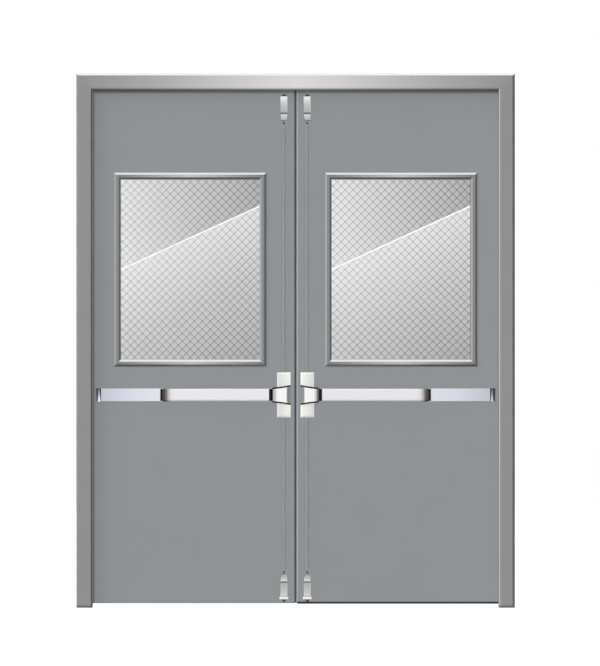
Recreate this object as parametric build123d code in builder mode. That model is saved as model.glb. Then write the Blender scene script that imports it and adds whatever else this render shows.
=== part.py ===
# Double-leaf steel fire door in a pressed steel frame, with a wired glass
# window and a push bar with two vertical rods on each leaf.
# Millimetres, +Z up. The push side faces -Y and the leaves open to +Y.
# The origin is on the underside of the left jamb's floor anchor.

import os

from build123d import *

os.makedirs("parts", exist_ok=True)

# Pressed frame, one rebate, with its throat open to the wall
frame_width = 1806.0
frame_height = 2200.0
frame_depth = 100.0
frame_sheet = 2.0
face_width = 66.0
stop_height = 16.0
return_lip = 13.0
face_fold = 9.0
rebate_fold = 3.0
stop_fold = 1.0

# Fixings of the frame
foot_width = 40.0
foot_length = 88.0
foot_sheet = 3.0
foot_upstand = 60.0
foot_hole_radius = 5.0
foot_hole_spacing = 50.0
anchor_heights = (250.0, 780.0, 1370.0, 1900.0)
anchor_hole_radius = 5.25
sleeve_radius = 11.0
strap_width = 50.0
strap_sheet = 3.0

# Leaves
leaf_thickness = 50.0
stop_gap = 5.0
edge_gap = 5.0
meeting_gap = 6.0
undercut = 15.0
lock_bevel = 1.5
skin = 1.2
skin_fold = 3.0
seam_gap = 0.2
channel_sheet = 2.0
channel_recess = 20.0

# Hinges
hinge_count = 3
hinge_height = 114.0
hinge_end_margin = 180.0
hinge_sheet = 3.0
pin_offset = 8.0
knuckle_radius = 7.0
hinge_pin_radius = 3.5
pin_clearance = 0.08
knuckle_count = 3
knuckle_gap = 0.3

# Windows
sight_width = 574.0
sight_height = 745.0
window_offset = 10.0
sill_rise = 118.0
trim_width = 27.0
trim_height = 9.0
trim_bevel = 8.0
trim_bevel_drop = 4.0
trim_sheet = 2.0
glass_thickness = 7.0
glass_cover = 9.0
glass_clearance = 4.0
seal_thickness = 3.0

# Push bar: rail, covers and pad
bar_height = 876.0
rail_height = 54.0
rail_depth = 33.0
rail_sheet = 3.0
cover_gap = 9.1
cover_lip = 8.0
cover_lip_sheet = 1.5
cover_thickness = 3.0
end_cap_length = 22.7
end_cap_tip = 14.0
end_cap_land = 8.0
end_cap_wedge = 5.5
end_cap_wedge_top = 0.8
end_cap_margin = 24.0
pad_length = 417.5
pad_cap_length = 21.5
pad_cap_round = 8.0
pad_flange = 12.0
pad_top_round = 5.0
pad_bottom_round = 9.0
pad_travel = 18.0
pad_clearance = 5.0
pad_grip = 7.0
neck_length = 5.0
guide_pin_radius = 4.0
guide_clearance = 0.3
guide_inset = 60.0
guide_grip = 14.0

# Centre case, head cover and rods
case_start = 20.6
case_width = 56.0
case_height = 186.0
case_depth = 34.0
case_wall = 2.0
case_bevel = 7.0
case_bevel_drop = 1.2
head_length = 78.9
head_tall = 82.0
head_short = 60.7
head_waist = 1.5
head_depth = 64.0
head_bevel = 6.0
head_nose = 14.0
head_cheek = 7.0
scoop_length = 14.8
scoop_drop = 22.0
scoop_round = 12.0
rod_radius = 6.35
rod_place = 48.0
rod_standoff = 20.0
rod_clearance = 0.3
rod_inside_case = 55.0
rod_travel = 12.0

# Latches at the head and the floor
latch_width = 30.0
latch_depth = 36.0
latch_round = 3.0
latch_joint = 2.0
latch_neck_height = 29.0
latch_neck_taper = 3.0
latch_neck_corner = 5.0
top_latch_drop = 38.0
top_latch_height = 70.0
bottom_latch_rise = 30.0
bottom_latch_height = 59.0
link_height = 24.0
link_width = 24.0
link_depth = 17.0
link_gap = 1.0
link_hole_radius = 4.5
link_hole_drop = 9.0
link_hole_depth = 2.0
foot_plate_width = 37.5
foot_plate_height = 13.0
bolt_radius = 7.0
bolt_reach = 8.0
bolt_length = 22.0
bolt_clearance = 0.4
bolt_chamfer = 1.5

# Strikes in the head
strike_sheet = 2.0
strike_width = 60.0
strike_hole = 17.0

# Places worked out from the sizes above. Across the door they are distances
# from the middle, where the two leaves meet.
outer = frame_width / 2
sight = outer - face_width
rebate = sight + stop_height
push_y = -frame_depth / 2
pull_y = frame_depth / 2
leaf_y = pull_y - leaf_thickness
stop_y = leaf_y - stop_gap
head_sight = frame_height - face_width
head_rebate = head_sight + stop_height

foot_end = rebate + frame_sheet
foot_middle = foot_end + foot_width / 2
middle_x = foot_middle

leaf_outer = rebate - edge_gap
leaf_inner = meeting_gap / 2
leaf_top = head_rebate - edge_gap
leaf_height = leaf_top - undercut
seam_y = leaf_y + leaf_thickness / 2
pin_x = rebate - edge_gap / 2
pin_y = pull_y + pin_offset
window_middle = (leaf_inner + leaf_outer) / 2 + window_offset
window_sill = bar_height + rail_height / 2 + sill_rise

head_end = case_start + head_length
pad_start = head_end + pad_clearance + neck_length
pad_end = pad_start + pad_length
cover_start = pad_end + pad_cap_length + cover_gap
rail_end = leaf_outer - end_cap_margin - end_cap_length

plan = Plane(origin=(middle_x, 0, 0))
centre = Plane.YZ.offset(middle_x)
leaf_face = Plane(
    origin=(middle_x, leaf_y, 0), x_dir=(1, 0, 0), z_dir=(0, -1, 0)
)


def save(piece, label):
    """Name a finished piece and write its file."""
    piece.part.label = label
    export_step(piece.part, f"parts/{label}.step")


def save_pair(piece, label):
    """Write a right-hand piece and its twin across the middle."""
    save(piece, f"right_{label}")
    with BuildPart() as twin:
        mirror(piece.part, about=centre)
    save(twin, f"left_{label}")


# Jambs: sheet folded round the face, the soffit, the stop and the rebate,
# with a lip each side of the throat, mitred to the head at the top
frame_path = (
    (outer, push_y + return_lip),
    (outer, push_y),
    (sight, push_y),
    (sight, stop_y),
    (rebate, stop_y),
    (rebate, pull_y),
    (outer, pull_y),
    (outer, pull_y - return_lip),
)
frame_radii = [
    face_fold, face_fold, rebate_fold, stop_fold, rebate_fold, rebate_fold
]
hinge_pitch = (leaf_height - 2 * hinge_end_margin) / (hinge_count - 1)
hinge_heights = [
    undercut + hinge_end_margin + hinge_pitch * i for i in range(hinge_count)
]
mitre = Plane(
    origin=(middle_x + outer, 0, frame_height), x_dir=(0, 1, 0), z_dir=(-1, 0, 1)
)
far_mitre = Plane(
    origin=(middle_x - outer, 0, frame_height), x_dir=(0, 1, 0), z_dir=(1, 0, 1)
)
anchor_y = (push_y + stop_y) / 2

with BuildPart() as jamb:
    with BuildSketch(plan):
        with BuildLine():
            FilletPolyline(*frame_path, radius=frame_radii)
            offset(amount=frame_sheet, side=Side.LEFT)
        make_face()
    extrude(amount=frame_height)
    split(bisect_by=mitre, keep=Keep.BOTTOM)
    with Locations(*[
        Plane(origin=(middle_x + sight, anchor_y, z), z_dir=(-1, 0, 0))
        for z in anchor_heights
    ]):
        Hole(anchor_hole_radius, depth=frame_sheet * 2)
    for z in hinge_heights:
        with BuildSketch(plan.offset(z - hinge_height / 2)):
            with Locations((rebate, seam_y)):
                Rectangle(hinge_sheet, leaf_thickness, align=Align.MIN)
        extrude(amount=hinge_height, mode=Mode.SUBTRACT)
save_pair(jamb, "jamb")

# Head: the same section, lying across the top
head_path = [
    (y, frame_height - (outer - across)) for across, y in frame_path
]
strike_y = leaf_y - rod_standoff
strike_plane = Plane(origin=(middle_x, strike_y, head_sight))

with BuildPart() as frame_head:
    with BuildSketch(centre):
        with BuildLine():
            FilletPolyline(*head_path, radius=frame_radii)
            offset(amount=frame_sheet, side=Side.RIGHT)
        make_face()
    extrude(amount=outer, both=True)
    split(bisect_by=mitre, keep=Keep.TOP)
    split(bisect_by=far_mitre, keep=Keep.TOP)
    with BuildSketch(strike_plane):
        with Locations((-rod_place, 0), (rod_place, 0)):
            Circle(strike_hole / 2)
    extrude(amount=frame_sheet * 2, both=True, mode=Mode.SUBTRACT)
save(frame_head, "frame_head")

# Strikes: a plate behind each hole in the head's soffit, where a bolt enters
strike_front = push_y + face_fold
strike_back = stop_y - rebate_fold
strike_middle = (strike_front + strike_back) / 2

with BuildPart() as top_strikes:
    with BuildSketch(plan.offset(head_sight + frame_sheet)):
        with Locations((-rod_place, strike_middle), (rod_place, strike_middle)):
            Rectangle(strike_width, strike_back - strike_front)
        with Locations((-rod_place, strike_y), (rod_place, strike_y)):
            Circle(strike_hole / 2, mode=Mode.SUBTRACT)
    extrude(amount=strike_sheet)
save(top_strikes, "top_strikes")

# Floor anchors: an angle welded in the foot of each jamb, with two holes
with BuildPart() as floor_anchors:
    with BuildSketch(Plane.XY):
        with Locations((0, 0), (2 * middle_x, 0)):
            Rectangle(foot_width, foot_length)
        with Locations((0, 0), (2 * middle_x, 0)):
            with GridLocations(0, foot_hole_spacing, 1, 2):
                Circle(foot_hole_radius, mode=Mode.SUBTRACT)
    extrude(amount=foot_sheet)
    with BuildSketch(Plane.XY.offset(foot_sheet)):
        for across in (-foot_end, foot_end):
            inward = foot_sheet / 2 if across > 0 else -foot_sheet / 2
            with Locations((middle_x + across + inward, foot_length / 4)):
                Rectangle(foot_sheet, foot_length / 2)
    extrude(amount=foot_upstand - foot_sheet)
save(floor_anchors, "floor_anchors")

# Wall anchors: a sleeve behind each hole in the soffit, on a strap that
# bears on both lips of the throat
with BuildPart() as wall_anchor:
    for z in anchor_heights:
        sleeve_end = Plane(
            origin=(middle_x + sight + frame_sheet, anchor_y, z), z_dir=(1, 0, 0)
        )
        with BuildSketch(sleeve_end):
            Circle(sleeve_radius)
        extrude(amount=face_width - 2 * frame_sheet - strap_sheet)
        with BuildSketch(Plane.YZ.offset(middle_x + outer - frame_sheet)):
            with Locations((0, z)):
                Rectangle(frame_depth - 2 * face_fold, strap_width)
        extrude(amount=-strap_sheet)
        with Locations(sleeve_end):
            Hole(anchor_hole_radius, depth=face_width)
save_pair(wall_anchor, "wall_anchors")

# Hinges: plates let into the rebate and the leaf's edge, their knuckles
# turning about one pin beyond the pull side
knuckle_pitch = hinge_height / knuckle_count
knuckle_height = knuckle_pitch - knuckle_gap


def knuckle_bottoms(hinge_middle, first):
    """Lower ends of every other knuckle of one hinge, from the first."""
    lowest = hinge_middle - hinge_height / 2
    return [
        lowest + knuckle_pitch * i for i in range(first, knuckle_count, 2)
    ]


def hinge_half(plate_x, first):
    """The plates and knuckles of three hinges that one side carries."""
    with BuildPart() as half:
        for z in hinge_heights:
            with BuildSketch(plan.offset(z - hinge_height / 2)):
                with Locations((plate_x, seam_y)):
                    Rectangle(hinge_sheet, pull_y - seam_y, align=Align.MIN)
            extrude(amount=hinge_height)
            for low in knuckle_bottoms(z, first):
                with BuildSketch(plan.offset(low)):
                    with Locations((plate_x, pull_y)):
                        Rectangle(hinge_sheet, pin_offset, align=Align.MIN)
                    with Locations((pin_x, pin_y)):
                        Circle(knuckle_radius)
                extrude(amount=knuckle_height)
    return half


with BuildPart() as frame_hinges:
    add(hinge_half(rebate, 0).part)
    for z in hinge_heights:
        with BuildSketch(plan.offset(z - hinge_height / 2)):
            with Locations((pin_x, pin_y)):
                Circle(hinge_pin_radius)
        extrude(amount=hinge_height)
save_pair(frame_hinges, "frame_hinges")

with BuildPart() as leaf_hinges:
    add(hinge_half(leaf_outer - hinge_sheet, 1).part)
    for z in hinge_heights:
        with BuildSketch(plan.offset(z - hinge_height / 2)):
            with Locations((pin_x, pin_y)):
                Circle(hinge_pin_radius + pin_clearance)
        extrude(amount=hinge_height, mode=Mode.SUBTRACT)
save_pair(leaf_hinges, "leaf_hinges")

# Leaf skins: two sheet pans, folded round the edges and meeting at the
# middle of the leaf's thickness, the meeting edge bevelled to swing clear
cut_width = sight_width + 2 * (glass_cover + glass_clearance)
cut_height = sight_height + 2 * (glass_cover + glass_clearance)
window_z = window_sill + sight_height / 2
leaf_plan = plan.offset(undercut)


def lock_edge(y):
    """How far the bevelled meeting edge stands from the middle at a depth."""
    return leaf_inner + lock_bevel * (pull_y - y) / leaf_thickness


push_seam = seam_y - seam_gap / 2
pull_seam = seam_y + seam_gap / 2

with BuildPart() as window_cut:
    with BuildSketch(leaf_face):
        with Locations((window_middle, window_z)):
            Rectangle(cut_width, cut_height)
    extrude(amount=-leaf_thickness)

with BuildPart() as hinge_cuts:
    for z in hinge_heights:
        with BuildSketch(plan.offset(z - hinge_height / 2)):
            with Locations((leaf_outer, seam_y)):
                Rectangle(
                    hinge_sheet, leaf_thickness, align=(Align.MAX, Align.MIN)
                )
        extrude(amount=hinge_height)

with BuildPart() as push_skin:
    with BuildSketch(leaf_plan):
        with BuildLine():
            FilletPolyline(
                (leaf_outer, push_seam),
                (leaf_outer, leaf_y),
                (lock_edge(leaf_y), leaf_y),
                (lock_edge(push_seam), push_seam),
                radius=skin_fold,
            )
            offset(amount=skin, side=Side.RIGHT)
        make_face()
    extrude(amount=leaf_height)
    add(window_cut.part, mode=Mode.SUBTRACT)
save_pair(push_skin, "push_skin")

with BuildPart() as pull_skin:
    with BuildSketch(leaf_plan):
        with BuildLine():
            FilletPolyline(
                (leaf_outer, pull_seam),
                (leaf_outer, pull_y),
                (lock_edge(pull_y), pull_y),
                (lock_edge(pull_seam), pull_seam),
                radius=skin_fold,
            )
            offset(amount=skin, side=Side.LEFT)
        make_face()
    extrude(amount=leaf_height)
    add(window_cut.part, mode=Mode.SUBTRACT)
    add(hinge_cuts.part, mode=Mode.SUBTRACT)
save_pair(pull_skin, "pull_skin")

# Core: a mineral board that fills the pans between the end channels, and
# the channels themselves, pressed trays open to the leaf's ends
with BuildSketch() as filling:
    with BuildLine():
        FilletPolyline(
            (leaf_outer, leaf_y),
            (leaf_outer, pull_y),
            (lock_edge(pull_y), pull_y),
            (lock_edge(leaf_y), leaf_y),
            radius=skin_fold,
            close=True,
        )
    make_face()
    offset(amount=-skin)

core_end = channel_recess + channel_sheet

with BuildPart() as core:
    with BuildSketch(leaf_plan.offset(core_end)):
        add(filling.sketch)
    extrude(amount=leaf_height - 2 * core_end)
    add(window_cut.part, mode=Mode.SUBTRACT)
    add(hinge_cuts.part, mode=Mode.SUBTRACT)
save_pair(core, "core")

with BuildPart() as end_channels:
    with BuildSketch(leaf_plan, plan.offset(leaf_top - core_end)):
        add(filling.sketch)
    extrude(amount=core_end)
    with BuildSketch(leaf_plan, plan.offset(leaf_top - channel_recess)):
        add(filling.sketch)
        offset(amount=-channel_sheet, mode=Mode.REPLACE)
    extrude(amount=channel_recess, mode=Mode.SUBTRACT)
save_pair(end_channels, "end_channels")

# Window: wired glass between tapes, held by a bevelled steel trim that
# returns into the opening on each side of the leaf
glass_y = (leaf_thickness - glass_thickness) / 2
leg_depth = glass_y - seal_thickness
mid_leaf = Plane.XZ.offset(-seam_y)

with BuildPart() as glass:
    with BuildSketch(leaf_face.offset(-glass_y)):
        with Locations((window_middle, window_z)):
            Rectangle(
                sight_width + 2 * glass_cover, sight_height + 2 * glass_cover
            )
    extrude(amount=-glass_thickness)
save_pair(glass, "glass")


def sight_ring(width):
    """A flat ring of the given width round the window's sight size."""
    with Locations((window_middle, window_z)):
        Rectangle(sight_width + 2 * width, sight_height + 2 * width)
        Rectangle(sight_width, sight_height, mode=Mode.SUBTRACT)


with BuildPart() as glazing_seals:
    with BuildSketch(leaf_face.offset(-glass_y)):
        sight_ring(glass_cover)
    extrude(amount=seal_thickness)
    mirror(about=mid_leaf)
save_pair(glazing_seals, "glazing_seals")

with BuildPart() as push_trim:
    with BuildSketch(leaf_face):
        sight_ring(trim_width)
    extrude(amount=trim_height)
    crest = push_trim.faces().sort_by(Axis.Y)[0]
    chamfer(crest.edges(), trim_bevel, trim_bevel_drop, reference=crest)
    with BuildSketch(leaf_face):
        sight_ring(trim_sheet)
    extrude(amount=-leg_depth)
    with BuildSketch(leaf_face.offset(-leg_depth)):
        sight_ring(glass_cover)
    extrude(amount=trim_sheet)
save_pair(push_trim, "push_trim")

with BuildPart() as pull_trim:
    mirror(push_trim.part, about=mid_leaf)
save_pair(pull_trim, "pull_trim")

# Rail: a channel from the head cover to the end cap, with two pins that
# guide the push pad
rail_inside = rail_height - 2 * rail_sheet
pad_back = rail_depth - pad_grip
pad_front = rail_depth + pad_clearance + pad_travel + pad_flange
guide_places = (
    (pad_start + guide_inset, bar_height),
    (pad_end - guide_inset, bar_height),
)

with BuildPart() as rail:
    with BuildSketch(Plane.YZ.offset(middle_x + head_end)):
        with Locations((leaf_y, bar_height)):
            Rectangle(rail_depth, rail_height, align=(Align.MAX, Align.CENTER))
        with Locations((leaf_y - rail_sheet, bar_height)):
            Rectangle(
                rail_depth,
                rail_inside,
                align=(Align.MAX, Align.CENTER),
                mode=Mode.SUBTRACT,
            )
    extrude(amount=rail_end - head_end)
    with BuildSketch(leaf_face.offset(rail_sheet)):
        with Locations(*guide_places):
            Circle(guide_pin_radius)
    extrude(amount=pad_back + guide_grip - rail_sheet)
save_pair(rail, "rail")

# Rail cover: closes the rail from the pad to the end cap, and grips it with
# a lip inside each flange
cover_plane = Plane.YZ.offset(middle_x + cover_start)

with BuildPart() as rail_cover:
    with BuildSketch(cover_plane):
        with Locations((leaf_y - rail_depth, bar_height)):
            Rectangle(
                cover_thickness, rail_height, align=(Align.MAX, Align.CENTER)
            )
    extrude(amount=rail_end - cover_start)
    front = rail_cover.faces().sort_by(Axis.Y)[0]
    fillet(front.edges().filter_by(Axis.X), cover_thickness * 0.6)
    with BuildSketch(cover_plane):
        with Locations((leaf_y - rail_depth, bar_height)):
            Rectangle(cover_lip, rail_inside, align=(Align.MIN, Align.CENTER))
            Rectangle(
                cover_lip,
                rail_inside - 2 * cover_lip_sheet,
                align=(Align.MIN, Align.CENTER),
                mode=Mode.SUBTRACT,
            )
    extrude(amount=rail_end - cover_start)
save_pair(rail_cover, "rail_cover")

# End cap: a land level with the cover, then a slope down to the leaf, the
# corner between them cut by a facet that widens downwards
cover_front = leaf_y - rail_depth - cover_thickness
cap_end = rail_end + end_cap_length
shoulder = rail_end + end_cap_land
cap_fall = leaf_y - end_cap_tip - cover_front
cap_slope = cap_fall / (end_cap_length - end_cap_land)

with BuildPart() as rail_end_cap:
    for z, wedge in (
        (bar_height - rail_height / 2, end_cap_wedge),
        (bar_height + rail_height / 2, end_cap_wedge_top),
    ):
        with BuildSketch(plan.offset(z)):
            with BuildLine():
                Polyline(
                    (rail_end, leaf_y),
                    (cap_end, leaf_y),
                    (cap_end, leaf_y - end_cap_tip),
                    (shoulder + wedge, cover_front + wedge * cap_slope),
                    (shoulder - wedge, cover_front),
                    (rail_end, cover_front),
                    close=True,
                )
            make_face()
    loft(ruled=True)
save_pair(rail_end_cap, "rail_end_cap")

# Push pad: a flange with a small round above and a larger one below, on a
# web that slides into the rail
pad_web = rail_inside - 2 * pad_clearance

with BuildSketch() as web_section:
    with Locations((leaf_y - pad_back, bar_height)):
        Rectangle(
            pad_front - pad_back - pad_flange,
            pad_web,
            align=(Align.MAX, Align.CENTER),
        )

with BuildSketch() as pad_section:
    with Locations((leaf_y - pad_front, bar_height)):
        Rectangle(pad_flange, rail_height, align=(Align.MIN, Align.CENTER))
    corners = pad_section.vertices().group_by(Axis.X)[0]
    fillet(corners.sort_by(Axis.Y)[-1], pad_top_round)
    corners = pad_section.vertices().group_by(Axis.X)[0]
    fillet(corners.sort_by(Axis.Y)[0], pad_bottom_round)
    add(web_section.sketch)

with BuildPart() as pad:
    with BuildSketch(Plane.YZ.offset(middle_x + pad_start)):
        add(pad_section.sketch)
    extrude(amount=pad_length)
    with BuildSketch(leaf_face.offset(pad_back)):
        with Locations(*guide_places):
            Circle(guide_pin_radius + guide_clearance)
    extrude(
        amount=guide_grip + pad_travel + pad_clearance / 2, mode=Mode.SUBTRACT
    )
save_pair(pad, "pad")

# Pad caps: a cap with round corners at the outer end, and a neck towards
# the head cover
with BuildPart() as pad_caps:
    with BuildSketch(Plane.YZ.offset(middle_x + pad_end)):
        add(pad_section.sketch)
    extrude(amount=pad_cap_length)
    with BuildSketch(leaf_face) as cap_outline:
        with Locations((pad_end, bar_height)):
            Rectangle(
                pad_cap_length, rail_height, align=(Align.MIN, Align.CENTER)
            )
        fillet(cap_outline.vertices().group_by(Axis.X)[-1], pad_cap_round)
    extrude(amount=pad_front, mode=Mode.INTERSECT)
    with BuildSketch(Plane.YZ.offset(middle_x + pad_start)):
        add(web_section.sketch)
    extrude(amount=-neck_length)
save_pair(pad_caps, "pad_caps")

# Centre case: a pressed cover over the lift mechanism, its front edges
# bevelled, open at its back, which both rods enter
case_middle = case_start + case_width / 2
rod_hole = rod_radius + rod_clearance

with BuildPart() as case_block:
    with BuildSketch(leaf_face):
        with Locations((case_middle, bar_height)):
            Rectangle(case_width, case_height)
    extrude(amount=case_depth)
    front = case_block.faces().sort_by(Axis.Y)[0]
    chamfer(front.edges(), case_bevel, case_bevel_drop, reference=front)

with BuildPart() as centre_case:
    add(case_block.part)
    with BuildSketch(leaf_face):
        with Locations((case_middle, bar_height)):
            Rectangle(case_width - 2 * case_wall, case_height - 2 * case_wall)
    extrude(amount=case_depth - case_wall, mode=Mode.SUBTRACT)
    with BuildSketch(plan.offset(bar_height - case_height / 2)):
        with Locations((rod_place, leaf_y - rod_standoff)):
            Circle(rod_hole)
    extrude(amount=case_height, mode=Mode.SUBTRACT)
save_pair(centre_case, "centre_case")

# Head cover: a moulding over the case, hollowed a little above and below,
# with a round nose at the pad and a sloping scoop at the meeting edge
head_middle = case_start + head_length / 2
waist = (head_tall + head_short) / 4 - head_waist
scoop_start = Plane(
    origin=(middle_x + case_start + scoop_length, leaf_y - head_depth, 0),
    x_dir=(0, 0, 1),
    z_dir=(-scoop_drop, -scoop_length, 0),
)

with BuildPart() as scoop:
    with BuildSketch(leaf_face.offset(head_depth - scoop_drop)) as scoop_outline:
        with Locations((case_start, bar_height)):
            Rectangle(
                scoop_length,
                head_tall - 2 * head_cheek,
                align=(Align.MIN, Align.CENTER),
            )
        fillet(scoop_outline.vertices().group_by(Axis.X)[-1], scoop_round)
    extrude(amount=scoop_drop)
    split(bisect_by=scoop_start, keep=Keep.TOP)

with BuildPart() as head_cover:
    with BuildSketch(leaf_face):
        with BuildLine():
            ThreePointArc(
                (case_start, bar_height + head_tall / 2),
                (head_middle, bar_height + waist),
                (head_end, bar_height + head_short / 2),
            )
            Line(
                (head_end, bar_height + head_short / 2),
                (head_end, bar_height - head_short / 2),
            )
            ThreePointArc(
                (head_end, bar_height - head_short / 2),
                (head_middle, bar_height - waist),
                (case_start, bar_height - head_tall / 2),
            )
            Line(
                (case_start, bar_height - head_tall / 2),
                (case_start, bar_height + head_tall / 2),
            )
        make_face()
    extrude(amount=head_depth)
    front = head_cover.faces().sort_by(Axis.Y)[0]
    fillet(front.edges().sort_by(Axis.X)[-1], head_nose)
    front = head_cover.faces().sort_by(Axis.Y)[0]
    chamfer(front.edges().filter_by(GeomType.CIRCLE), head_bevel)
    add(scoop.part, mode=Mode.SUBTRACT)
    add(case_block.part, mode=Mode.SUBTRACT)
save_pair(head_cover, "head_cover")

# Rods: each ends in a bolt that reaches past its latch, and carries a
# tapered link at the latch's neck
rod_centre = (middle_x + rod_place, leaf_y - rod_standoff)
top_latch_bottom = leaf_top - top_latch_drop - top_latch_height
top_latch_top = top_latch_bottom + top_latch_height
top_bolt_end = top_latch_top + bolt_reach
top_neck_end = top_latch_bottom - latch_joint - latch_neck_height
bottom_latch_bottom = undercut + bottom_latch_rise
bottom_latch_top = bottom_latch_bottom + bottom_latch_height
foot_bottom = bottom_latch_bottom - foot_plate_height
bottom_bolt_end = foot_bottom - bolt_reach
bottom_neck_end = bottom_latch_top + latch_joint + latch_neck_height


def round_bar(start, end, radius, mode=Mode.ADD):
    """A round bar or bore on the rods' centre line, between two heights."""
    with Locations((*rod_centre, start)):
        Cylinder(
            radius,
            end - start,
            align=(Align.CENTER, Align.CENTER, Align.MIN),
            mode=mode,
        )


def link(start, away):
    """A link with a socket in its front, narrowing up (1) or down (-1)."""
    with BuildPart() as block:
        with BuildSketch(leaf_face.offset(rod_standoff - link_depth / 2)):
            with BuildLine():
                Polyline(
                    (rod_place - link_width / 2, start),
                    (rod_place + link_width / 2, start),
                    (rod_place + rod_radius, start + away * link_height),
                    (rod_place - rod_radius, start + away * link_height),
                    close=True,
                )
            make_face()
        extrude(amount=link_depth)
        with BuildSketch(leaf_face.offset(rod_standoff + link_depth / 2)):
            with Locations((rod_place, start + away * link_hole_drop)):
                Circle(link_hole_radius)
        extrude(amount=-link_hole_depth, mode=Mode.SUBTRACT)
    return block


with BuildPart() as top_rod:
    round_bar(bar_height + rod_inside_case, top_bolt_end, rod_radius)
    round_bar(top_bolt_end - bolt_length, top_bolt_end, bolt_radius)
    chamfer(top_rod.edges().group_by(Axis.Z)[-1], bolt_chamfer)
    add(link(top_neck_end - link_gap, -1).part)
save_pair(top_rod, "top_rod")

with BuildPart() as bottom_rod:
    round_bar(bottom_bolt_end, bar_height - rod_inside_case, rod_radius)
    round_bar(bottom_bolt_end, bottom_bolt_end + bolt_length, bolt_radius)
    chamfer(bottom_rod.edges().group_by(Axis.Z)[0], bolt_chamfer)
    add(link(bottom_neck_end + link_gap, 1).part)
save_pair(bottom_rod, "bottom_rod")

# Latches: a case on the leaf and a tapered neck where the rod goes in, with
# a groove at the joint between them
neck_half = latch_width / 2 - latch_neck_taper
bolt_hole = bolt_radius + bolt_clearance
bolt_room = bolt_length + rod_travel


def latch(joint, away, case_length):
    """A latch with its case above the joint (1) or below it (-1)."""
    neck_start = joint - away * latch_joint
    neck_tip = neck_start - away * latch_neck_height
    with BuildPart() as piece:
        with BuildSketch(leaf_face):
            with Locations((rod_place, joint + away * case_length / 2)):
                Rectangle(latch_width, case_length)
            with BuildLine():
                Polyline(
                    (rod_place - latch_width / 2, neck_start),
                    (
                        rod_place - neck_half,
                        neck_tip + away * latch_neck_corner,
                    ),
                    (rod_place - neck_half + latch_neck_corner, neck_tip),
                    (rod_place + neck_half, neck_tip),
                    (rod_place + latch_width / 2, neck_start),
                    close=True,
                )
            make_face()
        extrude(amount=latch_depth)
        fronts = piece.faces().group_by(Axis.Y)[0]
        fillet(fronts.edges(), latch_round)
        with BuildSketch(leaf_face):
            with Locations((rod_place, joint - away * latch_joint / 2)):
                Rectangle(latch_width - 2 * latch_joint, latch_joint)
        extrude(amount=latch_depth - latch_round - latch_joint)
    return piece


with BuildPart() as top_latch:
    add(latch(top_latch_bottom, 1, top_latch_height).part)
    round_bar(top_neck_end, top_latch_top, rod_hole, Mode.SUBTRACT)
    round_bar(
        top_latch_top - bolt_room, top_latch_top, bolt_hole, Mode.SUBTRACT
    )
save_pair(top_latch, "top_latch")

with BuildPart() as bottom_latch:
    with BuildSketch(leaf_face):
        with Locations((rod_place, bottom_latch_bottom)):
            Rectangle(
                foot_plate_width,
                foot_plate_height,
                align=(Align.CENTER, Align.MAX),
            )
    extrude(amount=latch_depth)
    front = bottom_latch.faces().sort_by(Axis.Y)[0]
    fillet(front.edges(), latch_round)
    add(latch(bottom_latch_top, -1, bottom_latch_height).part)
    round_bar(foot_bottom, bottom_neck_end, rod_hole, Mode.SUBTRACT)
    round_bar(foot_bottom, foot_bottom + bolt_room, bolt_hole, Mode.SUBTRACT)
save_pair(bottom_latch, "bottom_latch")
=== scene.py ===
import math
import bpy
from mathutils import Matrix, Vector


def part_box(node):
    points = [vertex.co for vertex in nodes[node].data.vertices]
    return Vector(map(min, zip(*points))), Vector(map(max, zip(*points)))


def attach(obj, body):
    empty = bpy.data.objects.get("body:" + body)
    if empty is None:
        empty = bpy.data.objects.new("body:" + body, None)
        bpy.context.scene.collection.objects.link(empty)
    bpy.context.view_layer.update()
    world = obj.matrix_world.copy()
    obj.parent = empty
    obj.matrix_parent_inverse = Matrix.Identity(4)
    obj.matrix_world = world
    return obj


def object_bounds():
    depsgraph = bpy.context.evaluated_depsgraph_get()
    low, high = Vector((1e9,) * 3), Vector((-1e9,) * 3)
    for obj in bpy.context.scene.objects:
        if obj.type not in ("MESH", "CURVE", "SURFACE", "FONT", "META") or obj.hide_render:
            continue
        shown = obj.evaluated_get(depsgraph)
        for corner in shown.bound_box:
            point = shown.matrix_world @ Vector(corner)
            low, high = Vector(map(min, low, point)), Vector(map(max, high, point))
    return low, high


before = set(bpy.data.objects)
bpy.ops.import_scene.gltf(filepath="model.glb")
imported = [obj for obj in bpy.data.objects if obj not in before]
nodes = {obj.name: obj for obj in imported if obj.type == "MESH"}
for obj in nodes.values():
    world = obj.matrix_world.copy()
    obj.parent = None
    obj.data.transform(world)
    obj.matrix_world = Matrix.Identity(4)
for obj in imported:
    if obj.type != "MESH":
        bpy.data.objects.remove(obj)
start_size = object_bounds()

from types import SimpleNamespace

import bmesh
import bpy
from mathutils import Matrix, Vector

# The door in its frame, as it stands. Metres, +Z up; the push side, with the
# bars, faces -Y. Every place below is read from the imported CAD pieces.
lower, upper = start_size
door_middle = (lower + upper) / 2
frame_low, frame_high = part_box("frame_head")


# The camera stands square to the push side, far enough away that the
# soffits of the frame show only as a thin line, as they do in the photograph.
image_pixels = (600, 666)
door_top_pixel = 73.8
floor_pixel = 607.4
middle_pixel = 295.6
lens = 200.0
sensor = 36.0

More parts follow.
